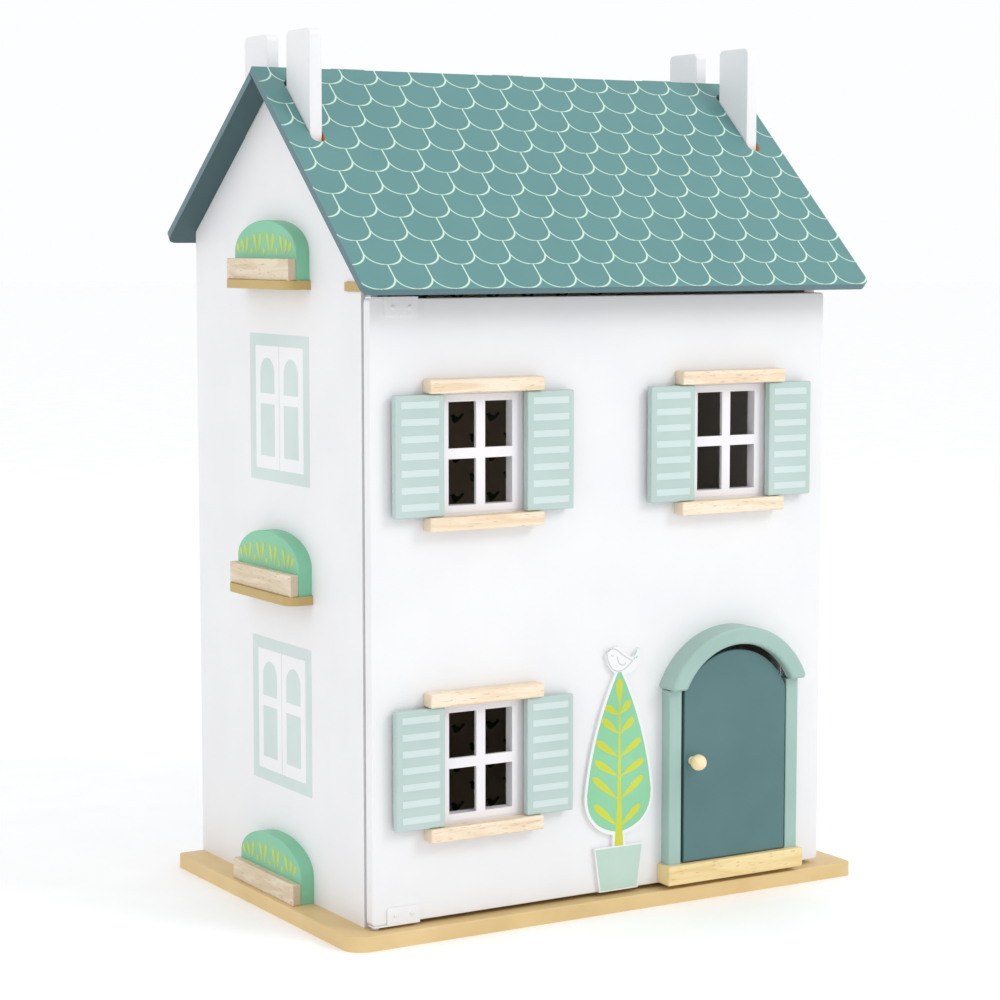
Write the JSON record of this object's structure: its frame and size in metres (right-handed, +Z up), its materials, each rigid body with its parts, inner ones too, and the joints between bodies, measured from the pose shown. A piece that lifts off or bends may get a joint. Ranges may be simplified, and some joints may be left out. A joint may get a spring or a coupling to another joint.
{
  "type": "wooden doll's house",
  "caption": "Tall wooden doll's house with a side-hinged swinging front, an opening door, turning shutters, side planters and a lifting front roof panel.",
  "frame": {"origin": "centre of the base board's underside", "axes": "+X to the right seen from the front, +Y from the front to the back, +Z up"},
  "size_m": [0.478, 0.3595, 0.7],
  "materials": {
    "white_painted_board": "satin white paint on board",
    "tan_painted_board": "satin tan paint on board",
    "teal_printed_roof": "satin teal print with pale scallop lines",
    "printed_wallpaper": "matt printed paper",
    "bare_hardwood": "bare rubberwood with a thin matt varnish",
    "pale_wood_trough": "bare pale wood",
    "green_painted_plant": "satin green paint with yellow-green leaf marks",
    "white_window_paint": "satin white paint",
    "pale_green_shutter_paint": "satin pale green-grey paint with lighter bars",
    "dark_teal_door_paint": "satin dark teal paint",
    "sage_frame_paint": "satin sage green paint",
    "printed_tree": "printed board with a white margin",
    "white_painted_steel": "white powder coat",
    "plated_magnet": "nickel plate",
    "steel": "zinc-plated steel"
  },
  "bodies": {
    "house": {"attic_floor_board": "tan_painted_board", "back_wall": "white_painted_board", "base_board": "tan_painted_board", "base_screws": "steel", "catch_magnet": "plated_magnet", "first_floor_board": "tan_painted_board", "left_attic_plant_board": "green_painted_plant", "left_attic_trough": "pale_wood_trough", "left_first_floor_plant_board": "green_painted_plant", "left_first_floor_trough": "pale_wood_trough", "left_gable_wall": "white_painted_board", "left_ground_plant_board": "green_painted_plant", "left_ground_trough": "pale_wood_trough", "right_attic_plant_board": "green_painted_plant", "right_attic_trough": "pale_wood_trough", "right_first_floor_plant_board": "green_painted_plant", "right_first_floor_trough": "pale_wood_trough", "right_gable_wall": "white_painted_board", "right_ground_plant_board": "green_painted_plant", "right_ground_trough": "pale_wood_trough", "roof_back_panel": "teal_printed_roof", "roof_back_screws": "steel", "roof_hinge_fixed_leaves": "steel", "roof_hinge_fixed_screws": "steel", "roof_hinge_pins": "steel", "wallpaper_panels": "printed_wallpaper"},
    "swinging_front": {"bottom_pivot_bracket": "white_painted_steel", "catch_plate": "steel", "door_arch": "sage_frame_paint", "door_jamb_backs": "sage_frame_paint", "door_pins": "steel", "doorstep": "bare_hardwood", "facade_panel": "white_painted_board", "facade_pivot_pins": "steel", "left_door_jamb": "sage_frame_paint", "lower_left_lintel": "bare_hardwood", "lower_left_sill": "bare_hardwood", "lower_left_window_frame": "white_window_paint", "pivot_bracket_screws": "steel", "right_door_jamb": "sage_frame_paint", "shutter_pins": "steel", "top_pivot_bracket": "white_painted_steel", "tree_plaque": "printed_tree", "upper_left_lintel": "bare_hardwood", "upper_left_sill": "bare_hardwood", "upper_left_window_frame": "white_window_paint", "upper_right_lintel": "bare_hardwood", "upper_right_sill": "bare_hardwood", "upper_right_window_frame": "white_window_paint"},
    "front_door": {"door_knob": "bare_hardwood", "door_leaf": "dark_teal_door_paint"},
    "roof_front": {"roof_front_panel": "teal_printed_roof", "roof_hinge_moving_leaves": "steel", "roof_hinge_moving_screws": "steel"},
    "lower_left_shutter_left": {"lower_left_shutter_left": "pale_green_shutter_paint"},
    "lower_left_shutter_right": {"lower_left_shutter_right": "pale_green_shutter_paint"},
    "upper_left_shutter_left": {"upper_left_shutter_left": "pale_green_shutter_paint"},
    "upper_left_shutter_right": {"upper_left_shutter_right": "pale_green_shutter_paint"},
    "upper_right_shutter_left": {"upper_right_shutter_left": "pale_green_shutter_paint"},
    "upper_right_shutter_right": {"upper_right_shutter_right": "pale_green_shutter_paint"}
  },
  "joints": [
    {"name": "front_swing", "type": "hinge", "parent": "house", "child": "swinging_front", "pos_m": [-0.209, -0.1485, 0.25], "axis": [0, 0, -1], "range_deg": [0, 170]},
    {"name": "door_swing", "type": "hinge", "parent": "swinging_front", "child": "front_door", "pos_m": [0.1661, -0.162, 0.1], "axis": [0, 0, -1], "range_deg": [0, 90]},
    {"name": "roof_lift", "type": "hinge", "parent": "house", "child": "roof_front", "pos_m": [0, 0.00526, 0.67024], "axis": [-1, 0, 0], "range_deg": [0, 140]},
    {"name": "upper_left_shutter_left_swing", "type": "hinge", "parent": "swinging_front", "child": "upper_left_shutter_left", "pos_m": [-0.1575, -0.1594, 0.375], "axis": [0, 0, 1], "range_deg": [0, 180]},
    {"name": "upper_left_shutter_right_swing", "type": "hinge", "parent": "swinging_front", "child": "upper_left_shutter_right", "pos_m": [-0.0775, -0.1594, 0.375], "axis": [0, 0, -1], "range_deg": [0, 180]},
    {"name": "upper_right_shutter_left_swing", "type": "hinge", "parent": "swinging_front", "child": "upper_right_shutter_left", "pos_m": [0.0745, -0.1594, 0.375], "axis": [0, 0, 1], "range_deg": [0, 180]},
    {"name": "upper_right_shutter_right_swing", "type": "hinge", "parent": "swinging_front", "child": "upper_right_shutter_right", "pos_m": [0.1545, -0.1594, 0.375], "axis": [0, 0, -1], "range_deg": [0, 180]},
    {"name": "lower_left_shutter_left_swing", "type": "hinge", "parent": "swinging_front", "child": "lower_left_shutter_left", "pos_m": [-0.1575, -0.1594, 0.135], "axis": [0, 0, 1], "range_deg": [0, 180]},
    {"name": "lower_left_shutter_right_swing", "type": "hinge", "parent": "swinging_front", "child": "lower_left_shutter_right", "pos_m": [-0.0775, -0.1594, 0.135], "axis": [0, 0, -1], "range_deg": [0, 180]}
  ]
}
